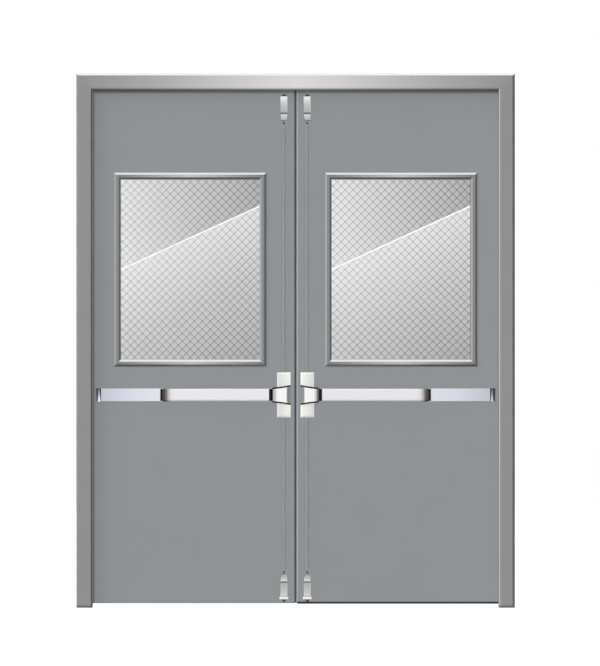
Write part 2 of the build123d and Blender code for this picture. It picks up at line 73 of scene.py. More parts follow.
door_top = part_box("left_jamb")[1].z
metres_per_pixel = door_top / (floor_pixel - door_top_pixel)
view_height = image_pixels[1] * metres_per_pixel
view_distance = view_height * lens / sensor
view_centre = Vector((
    door_middle.x + (image_pixels[0] / 2 - middle_pixel) * metres_per_pixel,
    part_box("left_jamb")[0].y / 2,
    (floor_pixel - image_pixels[1] / 2) * metres_per_pixel,
))
camera = bpy.data.objects.new("camera", bpy.data.cameras.new("camera"))
camera.data.lens = lens
camera.data.sensor_width = sensor
camera.data.clip_end = 100.0
camera.location = view_centre - Vector((0, view_distance, 0))
camera.rotation_euler = (math.radians(90), 0, 0)
bpy.context.scene.collection.objects.link(camera)
bpy.context.scene.camera = camera


# The studio: a large soft lamp near the camera, a fill lamp high on the left
# and one behind, for the pull side, in a dim room. Polished metal mirrors a
# brighter wall on the left and another behind the door.
def linear(code):
    """An sRGB hex colour as linear red, green, blue and alpha."""
    parts = [int(code[i:i + 2], 16) / 255 for i in (1, 3, 5)]
    return [
        c / 12.92 if c <= 0.04045 else ((c + 0.055) / 1.055) ** 2.4
        for c in parts
    ] + [1.0]


def add(tree, kind, inputs=None, **settings):
    """Adds a node. An input that is a socket is linked, any other is set."""
    made = tree.nodes.new(kind)
    for key, value in settings.items():
        setattr(made, key, value)
    for key, value in (inputs or {}).items():
        if isinstance(value, bpy.types.NodeSocket):
            tree.links.new(value, made.inputs[key])
        else:
            made.inputs[key].default_value = value
    return made


def material(name):
    """A new material and its tree, with nothing in it."""
    made = bpy.data.materials.new(name)
    made.use_nodes = True
    made.node_tree.nodes.clear()
    return made, made.node_tree


def sums(tree):
    """A function that adds one step of arithmetic and gives its socket."""
    def step(operation, *values):
        made = add(
            tree, "ShaderNodeMath", dict(enumerate(values)), operation=operation
        )
        return made.outputs[0]
    return step


def eased(tree, value, start, end, low, high):
    """The socket of a value that eases from low to high between two marks."""
    made = add(
        tree, "ShaderNodeMapRange",
        {
            "Value": value, "From Min": start, "From Max": end,
            "To Min": low, "To Max": high,
        },
        interpolation_type="SMOOTHSTEP",
    )
    return made.outputs["Result"]


def seen_directly(tree, rays):
    """A mask of what the camera sees, also through the glass."""
    return sums(tree)(
        "MAXIMUM", rays.outputs["Is Camera Ray"],
        rays.outputs["Is Transmission Ray"],
    )


bright_side = Vector((-0.52, -0.62, 0.59)).normalized()
room_low, room_high = 0.10, 0.28
mirror_low, mirror_high = 0.15, 1.22
wall_behind = 0.75

bpy.context.scene.view_settings.view_transform = "Standard"
world = bpy.data.worlds.new("studio")
bpy.context.scene.world = world
world.use_nodes = True
tree = world.node_tree
tree.nodes.clear()
rays = add(tree, "ShaderNodeLightPath")
direction = add(tree, "ShaderNodeTexCoord").outputs["Generated"]
towards_bright_side = add(
    tree, "ShaderNodeVectorMath", {0: direction, 1: bright_side},
    operation="DOT_PRODUCT",
).outputs["Value"]
axes = add(tree, "ShaderNodeSeparateXYZ", {0: direction})
brightness = eased(tree, towards_bright_side, -1.0, 0.6, room_low, room_high)
reflected = eased(tree, towards_bright_side, -0.2, 0.9, mirror_low, mirror_high)
behind = eased(tree, axes.outputs["Y"], 0.4, 0.8, 0.0, wall_behind)
mirrored = sums(tree)("MAXIMUM", reflected, behind)
shown = add(
    tree, "ShaderNodeMix",
    {0: rays.outputs["Is Glossy Ray"], 2: brightness, 3: mirrored},
)
room = add(
    tree, "ShaderNodeBackground",
    {"Color": linear("#FFFFFF"), "Strength": shown.outputs[0]},
)
backdrop = add(
    tree, "ShaderNodeBackground", {"Color": linear("#FFFFFF"), "Strength": 1.0}
)
both = add(
    tree, "ShaderNodeMixShader",
    {0: seen_directly(tree, rays), 1: room.outputs[0], 2: backdrop.outputs[0]},
)
add(tree, "ShaderNodeOutputWorld", {"Surface": both.outputs[0]})

for name, side, energy, angle, shadow in (
    ("soft_lamp", (-0.11, -0.96, 0.24), 2.04, 18, True),
    ("fill_lamp", (-0.78, -0.30, 0.55), 1.9, 60, False),
    ("back_lamp", (0.50, 0.75, 0.30), 3.2, 20, False),
):
    lamp = bpy.data.objects.new(name, bpy.data.lights.new(name, "SUN"))
    lamp.data.energy = energy
    lamp.data.angle = math.radians(angle)
    lamp.data.use_shadow = shadow
    lamp.visible_glossy = False
    lamp.rotation_euler = Vector(side).to_track_quat("Z", "Y").to_euler()
    bpy.context.scene.collection.objects.link(lamp)

floor_reach = 9.0
paper_glow = 0.72
floor_mesh = bpy.data.meshes.new("studio_floor")
floor_mesh.from_pydata(
    [
        (door_middle.x + x * floor_reach, door_middle.y + y * floor_reach, 0)
        for x, y in ((-1, -1), (1, -1), (1, 1), (-1, 1))
    ],
    [],
    [(0, 1, 2, 3)],
)
floor = bpy.data.objects.new("studio_floor", floor_mesh)
bpy.context.scene.collection.objects.link(floor)
paper, tree = material("floor_paper")
rays = add(tree, "ShaderNodeLightPath")
fill = sums(tree)("MULTIPLY", seen_directly(tree, rays), paper_glow)
matt = add(tree, "ShaderNodeBsdfDiffuse", {"Color": linear("#BCBCBC")})
glow = add(
    tree, "ShaderNodeEmission",
    {"Color": linear("#FFFFFF"), "Strength": fill},
)
sheet = add(
    tree, "ShaderNodeAddShader", {0: matt.outputs[0], 1: glow.outputs[0]}
)
add(tree, "ShaderNodeOutputMaterial", {"Surface": sheet.outputs[0]})
floor_mesh.materials.append(paper)
floor.visible_glossy = False
floor.visible_diffuse = False


# The pressed frame: two jambs and a head of 2 mm steel sheet, welded at the
# mitres and powder coated grey, with a fine orange peel. The head carries a
# painted long soft sheen and a painted highlight on its top fold. The left
# inner fold is painted as shade and the right one as a highlight; the right
# outer edge is painted darker as shade, and the feet are darker.
MM = 0.001


def mixed(tree, factor, first, second, blend="MIX"):
    """The socket of two colours mixed."""
    made = add(
        tree, "ShaderNodeMix", {0: factor, 6: first, 7: second},
        data_type="RGBA", blend_type=blend,
    )
    return made.outputs[2]


def ramp(tree, factor, *stops):
    """The socket of a colour ramp, from pairs of a position and a colour."""
    made = add(tree, "ShaderNodeValToRGB", {"Fac": factor})
    elements = made.color_ramp.elements
    for element, (position, code) in zip(elements, (stops[0], stops[-1])):
        element.position, element.color = position, linear(code)
    for position, code in stops[1:-1]:
        elements.new(position).color = linear(code)
    return made.outputs["Color"]


def noise(tree, size, detail):
    """The socket of a cloudy pattern, with patches of about a size."""
    place = add(tree, "ShaderNodeTexCoord")
    made = add(
        tree, "ShaderNodeTexNoise",
        {
            "Vector": place.outputs["Object"], "Scale": 1 / size,
            "Detail": detail,
        },
    )
    return made.outputs["Fac"]


def relief(tree, height, strength, distance):
    """The socket of a normal that follows a fine relief."""
    made = add(
        tree, "ShaderNodeBump",
        {"Height": height, "Strength": strength, "Distance": distance},
    )
    return made.outputs["Normal"]


def shaded(tree, inputs):
    """A principled shader with these inputs, as what the tree puts out."""
    made = add(tree, "ShaderNodeBsdfPrincipled", inputs)
    add(tree, "ShaderNodeOutputMaterial", {"Surface": made.outputs[0]})
    return made


def surface(tree):
    """Sockets of a point on a piece, by name: its place, how far it lies
    aside from the meeting line, and how far its face looks to the right, up
    and outwards from the meeting line."""
    place = add(tree, "ShaderNodeTexCoord")
    axes = add(tree, "ShaderNodeSeparateXYZ", {0: place.outputs["Object"]})
    facing = add(tree, "ShaderNodeSeparateXYZ", {0: place.outputs["Normal"]})
    step = sums(tree)
    across = step("SUBTRACT", axes.outputs["X"], door_middle.x)
    return SimpleNamespace(
        x=axes.outputs["X"], y=axes.outputs["Y"], z=axes.outputs["Z"],
        aside=step("ABSOLUTE", across),
        right=facing.outputs["X"], up=facing.outputs["Z"],
        outwards=step("MULTIPLY", facing.outputs["X"], step("SIGN", across)),
    )


def dress(finish, *names):
    """Gives a finish to CAD pieces, in place of the one they came with."""
    for name in names:
        mesh = nodes[name].data
        mesh.materials.clear()
        mesh.materials.append(finish)


def both_sides(*names):
    """The names of the pieces that the left and the right leaf have alike."""
    return [f"{side}_{name}" for side in ("left", "right") for name in names]


def powder_coat(name, dark, light, sheen):
    """A sprayed and baked coat: cloudy tone, orange peel and faint scuffs."""
    finish, tree = material(name)
    gloss = add(
        tree, "ShaderNodeMapRange",
        {
            "Value": noise(tree, 40 * MM, 6.0),
            "From Min": 0.35, "From Max": 0.7,
            "To Min": sheen - 0.05, "To Max": sheen + 0.06,
        },
    )
    cloud = noise(tree, 180 * MM, 4.0)
    tone = mixed(tree, cloud, linear(dark), linear(light))
    peel = noise(tree, 2.5 * MM, 2.0)
    coat = shaded(tree, {
        "Base Color": tone,
        "Roughness": gloss.outputs["Result"],
        "Normal": relief(tree, peel, 0.15, 0.1 * MM),
    })
    return finish, tree, tone, coat


frame_coat, tree, tone, coat = powder_coat(
    "powder_coated_frame", "#848484", "#888888", 0.5
)
edge_shade_width, dark_foot_height = 11 * MM, 10 * MM
fold_depth, shaded_width, lit_width = 6 * MM, 5.5 * MM, 4.3 * MM
at, step = surface(tree), sums(tree)
# Painted shade: the right jamb's outer edge is painted darker; the frame is also darker at
# its feet.
dark_edge_and_feet = step(
    "MAXIMUM",
    step("GREATER_THAN", at.x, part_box("right_jamb")[1].x - edge_shade_width),
    step("LESS_THAN", at.z, dark_foot_height),
)
front_fold = step("LESS_THAN", at.y, frame_low.y + fold_depth)
shaded_fold = step(
    "MULTIPLY", front_fold,
    step("COMPARE", at.x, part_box("left_jamb")[1].x, shaded_width),
)
lit_fold = step(
    "MULTIPLY", front_fold,
    step("COMPARE", at.x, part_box("right_jamb")[0].x, lit_width),
)
# Painted shade on the left jamb's inner fold, painted highlight on the right one.
tone = mixed(tree, shaded_fold, tone, linear("#5C5C5C"))
tone = mixed(tree, lit_fold, tone, linear("#B0B0B0"))
tree.links.new(
    mixed(tree, dark_edge_and_feet, tone, linear("#626261")), coat.inputs["Base Color"]
)
dress(frame_coat, "left_jamb", "right_jamb")

sheen_coat, tree, tone, coat = powder_coat(
    "powder_coated_head", "#838383", "#878787", 0.42
)
lit_edge, sheen_share = 8 * MM, 0.9
at, step = surface(tree), sums(tree)
# A painted sheen: the head is painted lighter towards its middle, and its top fold is
# painted as a highlight.
fade = ramp(
    tree, step("DIVIDE", at.aside, door_middle.x - frame_low.x),
    (0.0, "#D9D7D8"), (0.2, "#CECCCD"), (0.66, "#A2A2A2"), (1.0, "#868686"),
)
top_edge = step("GREATER_THAN", at.z, frame_high.z - lit_edge)
tone = mixed(tree, sheen_share, tone, fade)
tree.links.new(
    mixed(tree, top_edge, tone, linear("#E2E2E2")), coat.inputs["Base Color"]
)
dress(sheen_coat, "frame_head")


# Anchors and strikes: zinc-plated steel, folded and punched, that the wall
# hides. The plating shows a fine grain and a faint yellow-blue cast.
plated, tree = material("zinc_plated_steel")
place = add(tree, "ShaderNodeTexCoord")
grain = add(
    tree, "ShaderNodeTexVoronoi",
    {"Vector": place.outputs["Object"], "Scale": 1 / (6 * MM)},
)
cast = mixed(tree, grain.outputs["Color"], linear("#B9BDC0"), linear("#CBC9C0"))
shaded(tree, {
    "Base Color": cast, "Metallic": 1.0, "Roughness": 0.42,
    "Normal": relief(tree, noise(tree, 1.5 * MM, 3.0), 0.2, 0.1 * MM),
})
dress(plated, "floor_anchors", "top_strikes", *both_sides("wall_anchors"))


# The leaves: two pans of 1.2 mm steel sheet round a mineral board, powder
# coated a cooler grey than the frame. The right leaf opens first, and its
# meeting edge carries a painted highlight. The board only shows inside.
leaf_coat, tree, tone, coat = powder_coat(
    "powder_coated_leaf", "#84888B", "#878B8E", 0.5
)
highlight_aside, highlight_reach, highlight_depth = 5 * MM, 3.4 * MM, 5 * MM
at, step = surface(tree), sums(tree)
# A painted highlight: the right leaf's meeting edge is painted lighter.
painted_edge_highlight = step(
    "MULTIPLY",
    step("COMPARE", at.x, door_middle.x + highlight_aside, highlight_reach),
    step("LESS_THAN", at.y, highlight_depth),
)
tree.links.new(
    mixed(tree, painted_edge_highlight, tone, linear("#A7ABAE")), coat.inputs["Base Color"]
)
dress(leaf_coat, *both_sides("push_skin", "pull_skin", "end_channels"))

board, tree = material("mineral_board")
fibre = noise(tree, 4 * MM, 6.0)
shaded(tree, {
    "Base Color": mixed(tree, fibre, linear("#B9AE93"), linear("#D8CFB8")),
    "Roughness": 0.95, "Normal": relief(tree, fibre, 0.5, 1 * MM),
})
dress(board, *both_sides("core"))


# The smoke seals: a grey rubber blade pressed into each meeting edge. The
# two blades pass one behind the other and close the gap from sight.
blade_thickness, tip_thickness = 4 * MM, 0.8 * MM
blade_overlap, blade_hold, blade_clear = 0.6 * MM, 1.3 * MM, 0.5 * MM
taper_start = 0.45


def linked(name, form):
    """A piece of the scene from a finished form."""
    mesh = bpy.data.meshes.new(name)
    form.to_mesh(mesh)
    form.free()
    piece = bpy.data.objects.new(name, mesh)
    bpy.context.scene.collection.objects.link(piece)
    return piece


def blade_seal(side, middle_y, root):
    """A tapered blade on one leaf's edge, rooted in the edge's fold."""
    low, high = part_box(f"{side}_push_skin")
    away = 1 if side == "right" else -1
    near, far = middle_y - blade_thickness / 2, middle_y + blade_thickness / 2
    tip = -blade_overlap
    profile = [
        (root, near), (root, far), (root * taper_start, far),
        (tip, middle_y + tip_thickness / 2),
        (tip, middle_y - tip_thickness / 2),
        (root * taper_start, near),
    ]
    form = bmesh.new()
    ends = []
    for z in (low.z + blade_clear, high.z - blade_clear):
        ends.append([
            form.verts.new((door_middle.x + away * x, y, z))
            for x, y in profile
        ])
    count = len(profile)
    for i in range(count):
        j = (i + 1) % count
        form.faces.new((ends[0][i], ends[0][j], ends[1][j], ends[1][i]))
    form.faces.new(ends[0])
    form.faces.new(ends[1])
    bmesh.ops.recalc_face_normals(form, faces=form.faces)
    return linked(f"{side}_meeting_seal", form)


def seal_rubber(name, dark, light):
    """Extruded rubber with a cloudy bloom on it."""
    finish, tree = material(name)
    bloom = noise(tree, 12 * MM, 5.0)
    tone = mixed(tree, bloom, linear(dark), linear(light))
    shaded(tree, {"Base Color": tone, "Roughness": 0.7})
    return finish


blade_rubber = seal_rubber("grey_seal_rubber", "#53585C", "#60656A")
wiper_rubber = seal_rubber("black_wiper_rubber", "#131314", "#1E1F20")


def strip(name, low, high):
    """A plain bar between two corners."""
    form = bmesh.new()
    bmesh.ops.create_cube(form, size=1.0)
    bmesh.ops.scale(form, vec=high - low, verts=form.verts)
    bmesh.ops.translate(form, vec=(low + high) / 2, verts=form.verts)
    return linked(name, form)


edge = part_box("right_pull_skin")[0].x - door_middle.x
leaf_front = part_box("right_push_skin")[0].y
for side, depth in (("left", 34 * MM), ("right", 24 * MM)):
    seal = blade_seal(side, leaf_front + depth, edge + blade_hold)
    seal.data.materials.append(blade_rubber)
    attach(seal, f"{side}_leaf")

# The active leaf, on the right, also has a thin rubber wiper glued along the
# foot of its push face.
wiper_drop, wiper_rise = 1.5 * MM, 6.5 * MM
wiper_thickness, glue_depth = 2.5 * MM, 0.2 * MM
inner_margin, outer_margin = 2 * MM, 4 * MM
low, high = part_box("right_push_skin")
wiper = strip(
    "right_foot_wiper",
    Vector((low.x + inner_margin, low.y - wiper_thickness, low.z - wiper_drop)),
    Vector((high.x - outer_margin, low.y + glue_depth, low.z + wiper_rise)),
)
wiper.data.materials.append(wiper_rubber)
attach(wiper, "right_leaf")


# The hinges: satin stainless steel, with plates let into the rebate and the
# leaf's edge, and knuckles on one pin. They are ground along their height.
def brushed_metal(name, dark, light, stretch, roughness):
    """Metal with fine grinding lines, which stretch makes long on one axis."""
    finish, tree = material(name)
    place = add(tree, "ShaderNodeTexCoord")
    along = add(
        tree, "ShaderNodeMapping",
        {"Vector": place.outputs["Object"], "Scale": stretch},
    )
    lines = add(
        tree, "ShaderNodeTexNoise",
        {"Vector": along.outputs["Vector"], "Scale": 1.0, "Detail": 5.0},
    )
    tone = mixed(tree, lines.outputs["Fac"], linear(dark), linear(light))
    shine = add(
        tree, "ShaderNodeMapRange",
        {
            "Value": lines.outputs["Fac"],
            "To Min": roughness - 0.08, "To Max": roughness + 0.08,
        },
    )
    metal = shaded(tree, {
        "Base Color": tone, "Metallic": 1.0,
        "Roughness": shine.outputs["Result"],
        "Normal": relief(tree, lines.outputs["Fac"], 0.15, 0.05 * MM),
    })
    return finish, tree, tone, metal


def tint_tone(tree, tone, tint, shader):
    """Multiplies a shader's tone by a tint."""
    tree.links.new(
        mixed(tree, 1.0, tone, tint, "MULTIPLY"), shader.inputs["Base Color"]
    )


def scatter(tree, mask, shader):
    """Lets the faces in a mask scatter light where the others mirror it."""
    share = 0.75
    tree.links.new(
        sums(tree)("MULTIPLY_ADD", mask, -share, 1.0),
        shader.inputs["Metallic"],
    )


# Grinding lines lie 1.2 mm apart and run for 60 mm.
fine = 1 / (1.2 * MM)
long = 1 / (60 * MM)
hinge_steel, *_ = brushed_metal(
    "satin_hinge_steel", "#A9ABAD", "#C6C8C9", (fine, fine, long), 0.32
)
dress(hinge_steel, *both_sides("frame_hinges", "leaf_hinges"))


# The hinge screws: four countersunk heads with a cross recess on each plate,
# set in a zigzag. They show only when a leaf stands open.
def geometry_tree(name, output, defaults):
    """A tree with numbers and a metal going in and a geometry coming out."""
    tree = bpy.data.node_groups.new(name, "GeometryNodeTree")
    for label, default in defaults.items():
        made = tree.interface.new_socket(
            label, in_out="INPUT", socket_type="NodeSocketFloat"
        )
        made.default_value = default
    tree.interface.new_socket(
        "Metal", in_out="INPUT", socket_type="NodeSocketMaterial"
    )
    tree.interface.new_socket(
        output, in_out="OUTPUT", socket_type="NodeSocketGeometry"
    )
    return tree, add(tree, "NodeGroupInput")


def put_out(tree, given, output, instances):
    """Ends a tree: its instances, made real and given the metal."""
    solid = add(tree, "GeometryNodeRealizeInstances", {"Geometry": instances})
    coloured = add(
        tree, "GeometryNodeSetMaterial",
        {"Geometry": solid.outputs[0], "Material": given.outputs["Metal"]},
    )
    add(tree, "NodeGroupOutput", {output: coloured.outputs[0]})


def screw_heads():
    """A tree that sets rows of screw heads up the plates of some hinges."""
    tree, given = geometry_tree("hinge_screws", "Heads", {
        "Hinges": 3.0, "Hinge Pitch": 0.885, "Screws": 4.0,
        "Screw Pitch": 0.028, "Zigzag": 0.018, "Head Radius": 0.0045,
        "Head Height": 0.0006,
    })
    recess_length, recess_width, recess_lift, taper = 1.1, 0.22, 0.9, 0.9
    step = sums(tree)
    screws = given.outputs["Screws"]
    # One head is cut in millimetres, where the boolean is exact.
    radius = step("DIVIDE", given.outputs["Head Radius"], MM)
    height = step("DIVIDE", given.outputs["Head Height"], MM)

    row = add(
        tree, "GeometryNodeMeshLine",
        {"Count": step("MULTIPLY", given.outputs["Hinges"], screws)},
    )
    index = add(tree, "GeometryNodeInputIndex")
    hinge = step("FLOOR", step("DIVIDE", index.outputs[0], screws))
    one = step("SUBTRACT", index.outputs[0], step("MULTIPLY", hinge, screws))
    centred = step("SUBTRACT", one, step("MULTIPLY_ADD", screws, 0.5, -0.5))
    rise = step(
        "ADD", step("MULTIPLY", centred, given.outputs["Screw Pitch"]),
        step("MULTIPLY", hinge, given.outputs["Hinge Pitch"]),
    )
    sway = step("SUBTRACT", step("MODULO", one, 2.0), 0.5)
    placed = add(
        tree, "ShaderNodeCombineXYZ",
        {"Y": step("MULTIPLY", sway, given.outputs["Zigzag"]), "Z": rise},
    )
    spread = add(
        tree, "GeometryNodeSetPosition",
        {"Geometry": row.outputs["Mesh"], "Position": placed.outputs[0]},
    )
    head = add(
        tree, "GeometryNodeMeshCone",
        {
            "Vertices": 32, "Radius Top": step("MULTIPLY", radius, taper),
            "Radius Bottom": radius, "Depth": height,
        },
    )
    slots = []
    for along, across in (
        (recess_length, recess_width), (recess_width, recess_length)
    ):
        size = add(
            tree, "ShaderNodeCombineXYZ",
            {
                "X": step("MULTIPLY", radius, along),
                "Y": step("MULTIPLY", radius, across), "Z": height,
            },
        )
        slots.append(
            add(tree, "GeometryNodeMeshCube", {"Size": size.outputs[0]})
        )
    cross = add(
        tree, "GeometryNodeMeshBoolean",
        {1: slots[0].outputs["Mesh"]}, operation="UNION", solver="EXACT",
    )
    tree.links.new(slots[1].outputs["Mesh"], cross.inputs[1])
    raised = add(
        tree, "ShaderNodeCombineXYZ",
        {"Z": step("MULTIPLY", height, recess_lift)},
    )
    lifted = add(
        tree, "GeometryNodeTransform",
        {"Geometry": cross.outputs[0], "Translation": raised.outputs[0]},
    )
    cut = add(
        tree, "GeometryNodeMeshBoolean", {0: head.outputs["Mesh"]},
        operation="DIFFERENCE", solver="EXACT",
    )
    tree.links.new(lifted.outputs[0], cut.inputs[1])
    heads = add(
        tree, "GeometryNodeInstanceOnPoints",
        {
            "Points": spread.outputs[0], "Instance": cut.outputs[0],
            "Rotation": (0.0, math.radians(90), 0.0), "Scale": (MM, MM, MM),
        },
    )
    put_out(tree, given, "Heads", heads.outputs[0])
    return tree


def grown(name, tree, place, values, turn=0.0):
    """A plain mesh piece, at a place, of what a tree makes from its inputs."""
    seed = bpy.data.objects.new(name + "_seed", bpy.data.meshes.new(name))
    bpy.context.scene.collection.objects.link(seed)
    maker = seed.modifiers.new("maker", "NODES")
    maker.node_group = tree
    for item in tree.interface.items_tree:
        if item.in_out == "INPUT" and item.name in values:
            maker[item.identifier] = values[item.name]
    bpy.context.view_layer.update()
    ready = seed.evaluated_get(bpy.context.evaluated_depsgraph_get())
    mesh = bpy.data.meshes.new_from_object(ready)
    seed.modifiers.clear()
    bpy.data.objects.remove(seed)
    mesh.transform(Matrix.Translation(place) @ Matrix.Rotation(turn, 4, "Z"))
    piece = bpy.data.objects.new(name, mesh)
    bpy.context.scene.collection.objects.link(piece)
    return piece


screw_steel, *_ = brushed_metal(
    "zinc_plated_screws", "#B4B6B7", "#CDCECE", (fine, fine, fine), 0.28
)
screws = screw_heads()
pull_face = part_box("left_pull_skin")[1].y
plate_height, plate_gap, zigzag = 114 * MM, 5 * MM, 10 * MM
for side, inwards in (("left", 1), ("right", -1)):
    low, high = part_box(f"{side}_leaf_hinges")
    pin_x = (low.x + high.x) / 2
    for part, body, towards_door in (
        ("frame", "frame", 1), ("leaf", f"{side}_leaf", -1)
    ):
        faces = inwards * towards_door
        piece = grown(
            f"{side}_{part}_hinge_screws", screws,
            Vector((
                pin_x - faces * plate_gap / 2, (low.y + pull_face) / 2,
                low.z + plate_height / 2,
            )),
            {
                "Hinge Pitch": (high.z - low.z - plate_height) / 2,
                "Zigzag": zigzag,
                "Metal": screw_steel,
            },
            0.0 if faces > 0 else math.pi,
        )
        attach(piece, body)


# The windows: a stainless trim pressed with a bevel each side, brushed
# along its length, holds the glass between black fire tapes.
def window_trim_steel():
    """Brushed trim whose head and sill catch more light than its sides."""
    finish, tree, tone, steel = brushed_metal(
        "brushed_trim_steel", "#DEE0E2", "#EEEFF0", (long, fine, fine), 0.24
    )
    at, step = surface(tree), sums(tree)
    low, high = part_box("right_push_trim")
    centre, half = (low + high) / 2, (high - low) / 2
    out = step("ABSOLUTE", step("SUBTRACT", at.aside, centre.x - door_middle.x))
    above = step("ABSOLUTE", step("SUBTRACT", at.z, centre.z))
    level = step("GREATER_THAN", step("SUBTRACT", above, out), half.z - half.x)
    sideways = step("MULTIPLY_ADD", at.right, 0.5, 0.5)
    # Painted light and shade: the sides are toned by which way each face turns, the head
    # and sill are painted brightest in the middle, bevels turned up get a painted
    # highlight and bevels turned down painted shade.
    upright = ramp(
        tree, sideways,
        (0.0, "#B0B0B0"), (0.4, "#B0B0B0"), (0.42, "#989898"),
        (0.58, "#989898"), (0.6, "#C4C4C4"), (1.0, "#C4C4C4"),
    )
    crest = ramp(
        tree, step("DIVIDE", out, half.x),
        (0.0, "#D2D2D2"), (0.12, "#CCCCCC"), (0.9, "#949494"), (1.0, "#8A8A8A"),
    )
    bevel = 0.2
    facing_up = step("GREATER_THAN", at.up, bevel)
    flat = mixed(tree, facing_up, crest, linear("#ECECEC"))
    facing_down = step("LESS_THAN", at.up, -bevel)
    flat = mixed(tree, facing_down, flat, linear("#BEBEBE"))
    tint_tone(tree, tone, mixed(tree, level, upright, flat), steel)
    return finish


trim_steel = window_trim_steel()
dress(trim_steel, *both_sides("push_trim", "pull_trim"))

tape, tree = material("intumescent_tape")
foam = noise(tree, 1.5 * MM, 4.0)
shaded(tree, {
    "Base Color": mixed(tree, foam, linear("#1B1B1C"), linear("#2A2A2B")),
    "Roughness": 0.8, "Normal": relief(tree, foam, 0.4, 0.3 * MM),
})
dress(tape, *both_sides("glazing_seals"))


# The glass: 7 mm wired safety glass, faintly grey. A broad soft reflection
# is painted across each pane and ends in one painted bright edge, lighter
# below it.
pane_low, pane_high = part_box("left_glass")
pane_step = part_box("right_glass")[0].x - pane_low.x
streak_left = Vector((121, 269))
streak_right = Vector((261, 205))
streak_half_width = 3 * MM


def at_pixel(pixel):
    """The place in the door's plane, across and up, of a photograph pixel."""
    return Vector((
        view_centre.x + (pixel.x - image_pixels[0] / 2) * metres_per_pixel,
        view_centre.z + (image_pixels[1] / 2 - pixel.y) * metres_per_pixel,
    ))


def pane_tone(tree):
    """The grey of a pane, which deepens away from one lit corner."""
    at, step = surface(tree), sums(tree)
    on_right = step("GREATER_THAN", at.x, door_middle.x)
    across = step("SUBTRACT", at.x, step("MULTIPLY", on_right, pane_step))
    start, end = at_pixel(streak_left), at_pixel(streak_right)
    lean = (end.y - start.y) / (end.x - start.x)
    line = step("MULTIPLY_ADD", across, lean, start.y - lean * start.x)
    above = step("SUBTRACT", at.z, line)

    size = pane_high - pane_low
    sideways = step("DIVIDE", step("SUBTRACT", across, pane_low.x), size.x)
    upward = step("DIVIDE", step("SUBTRACT", at.z, pane_low.z), size.z)
    corner, per_width, per_height = 0.47, -0.45, 0.925
    fall = step("MULTIPLY_ADD", sideways, per_width, corner)
    # Painted reflection: the pane is painted lighter and darker on each side of a painted
    # bright streak.
    painted_glare_below = ramp(
        tree, step("MULTIPLY_ADD", upward, per_height, fall),
        (0.0, "#A6A6A7"), (0.5, "#CACACB"), (1.0, "#EFEFF0"),
    )
    painted_glare_above = ramp(
        tree, sideways, (0.0, "#E6E6E7"), (0.5, "#CACACB"), (1.0, "#ACACAD")
    )
    tint = mixed(
        tree, step("GREATER_THAN", above, 0.0), painted_glare_below, painted_glare_above
    )
    streak = step("COMPARE", above, 0.0, streak_half_width)
    return mixed(tree, streak, tint, linear("#FFFFFF"))


glass, tree = material("wired_safety_glass")
shaded(tree, {
    "Base Color": pane_tone(tree), "Transmission Weight": 1.0,
    "Roughness": 0.02, "IOR": 1.5,
})
dress(glass, *both_sides("glass"))


